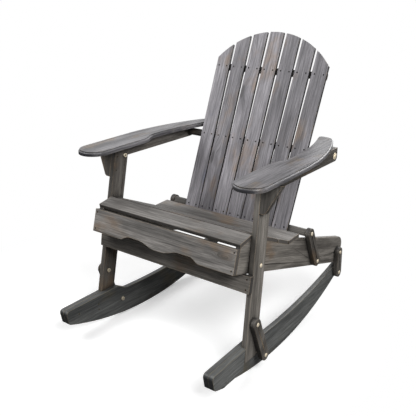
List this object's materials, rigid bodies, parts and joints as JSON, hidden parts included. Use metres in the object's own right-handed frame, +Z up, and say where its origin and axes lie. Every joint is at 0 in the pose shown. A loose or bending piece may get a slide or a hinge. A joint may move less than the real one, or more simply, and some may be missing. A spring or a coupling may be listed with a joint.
{
  "type": "rocking adirondack chair",
  "caption": "Slatted wooden garden rocking chair with a fanned reclining back, broad flat arms, curved rockers and hinged links.",
  "frame": {"origin": "point on the floor below the middle of the chair's overall length and width", "axes": "+Z up, +Y from the front of the seat to the back, +X to the right of someone who looks at the chair from its front"},
  "size_m": [0.7614, 0.9077, 1.0218],
  "materials": {
    "back_wood": "weathered dark grey stain with a brown undertone",
    "seat_wood": "weathered dark grey stain with worn tan edges",
    "arm_wood": "weathered blue grey stain",
    "frame_wood": "dark grey stain, near black on sawn ends",
    "bolt_metal": "pale zinc and brass plate, satin",
    "screw_metal": "black, sunk below the wood"
  },
  "bodies": {
    "root": {"arm_corbel_left": "frame_wood", "arm_corbel_right": "frame_wood", "brace_link_left": "frame_wood", "brace_link_right": "frame_wood", "frame_bolts": "bolt_metal", "frame_screws": "screw_metal", "front_apron": "seat_wood", "front_leg_left": "frame_wood", "front_leg_right": "frame_wood", "front_stretcher": "frame_wood", "rear_link_left": "frame_wood", "rear_link_right": "frame_wood", "rocker_block_left": "frame_wood", "rocker_block_right": "frame_wood", "rocker_left": "frame_wood", "rocker_right": "frame_wood", "seat_rail_left": "frame_wood", "seat_rail_right": "frame_wood", "seat_slat_1": "seat_wood", "seat_slat_2": "seat_wood", "seat_slat_3": "seat_wood", "seat_slat_4": "seat_wood", "seat_slat_5": "seat_wood"},
    "back_link_left": {"back_link_left": "frame_wood"},
    "back_link_right": {"back_link_right": "frame_wood"},
    "back": {"back_lower_bar": "frame_wood", "back_middle_bar": "frame_wood", "back_slat_1": "back_wood", "back_slat_2": "back_wood", "back_slat_3": "back_wood", "back_slat_4": "back_wood", "back_slat_5": "back_wood", "back_slat_6": "back_wood", "back_slat_7": "back_wood", "back_top_batten": "frame_wood", "back_bolts": "bolt_metal", "back_screws": "screw_metal"},
    "arm_left": {"arm_left": "arm_wood", "arm_rail_left": "frame_wood"},
    "arm_right": {"arm_right": "arm_wood", "arm_rail_right": "frame_wood"}
  },
  "joints": [
    {"name": "back_fold", "type": "hinge", "parent": "root", "child": "back_link_left", "pos_m": [-0.3065, 0.21256, 0.241], "axis": [1, 0, 0], "range_deg": [-25, 0]},
    {"name": "right_link_fold", "type": "hinge", "parent": "root", "child": "back_link_right", "pos_m": [0.3065, 0.21256, 0.241], "axis": [1, 0, 0], "range_deg": [-25, 0]},
    {"name": "back_tilt", "type": "hinge", "parent": "back_link_left", "child": "back", "pos_m": [0, 0.15356, 0.3675], "axis": [1, 0, 0], "range_deg": [0, 37.81]},
    {"name": "left_arm_rise", "type": "hinge", "parent": "root", "child": "arm_left", "pos_m": [-0.3212, -0.13644, 0.618], "axis": [1, 0, 0], "range_deg": [0, 4.91]},
    {"name": "right_arm_rise", "type": "hinge", "parent": "root", "child": "arm_right", "pos_m": [0.3212, -0.13644, 0.618], "axis": [1, 0, 0], "range_deg": [0, 4.91]}
  ],
  "couplings": [
    {"joint": "right_link_fold", "follows": "back_fold", "ratio": 1},
    {"joint": "back_tilt", "follows": "back_fold", "ratio": -1.5126},
    {"joint": "left_arm_rise", "follows": "back_fold", "ratio": -0.1962},
    {"joint": "right_arm_rise", "follows": "back_fold", "ratio": -0.1962}
  ]
}
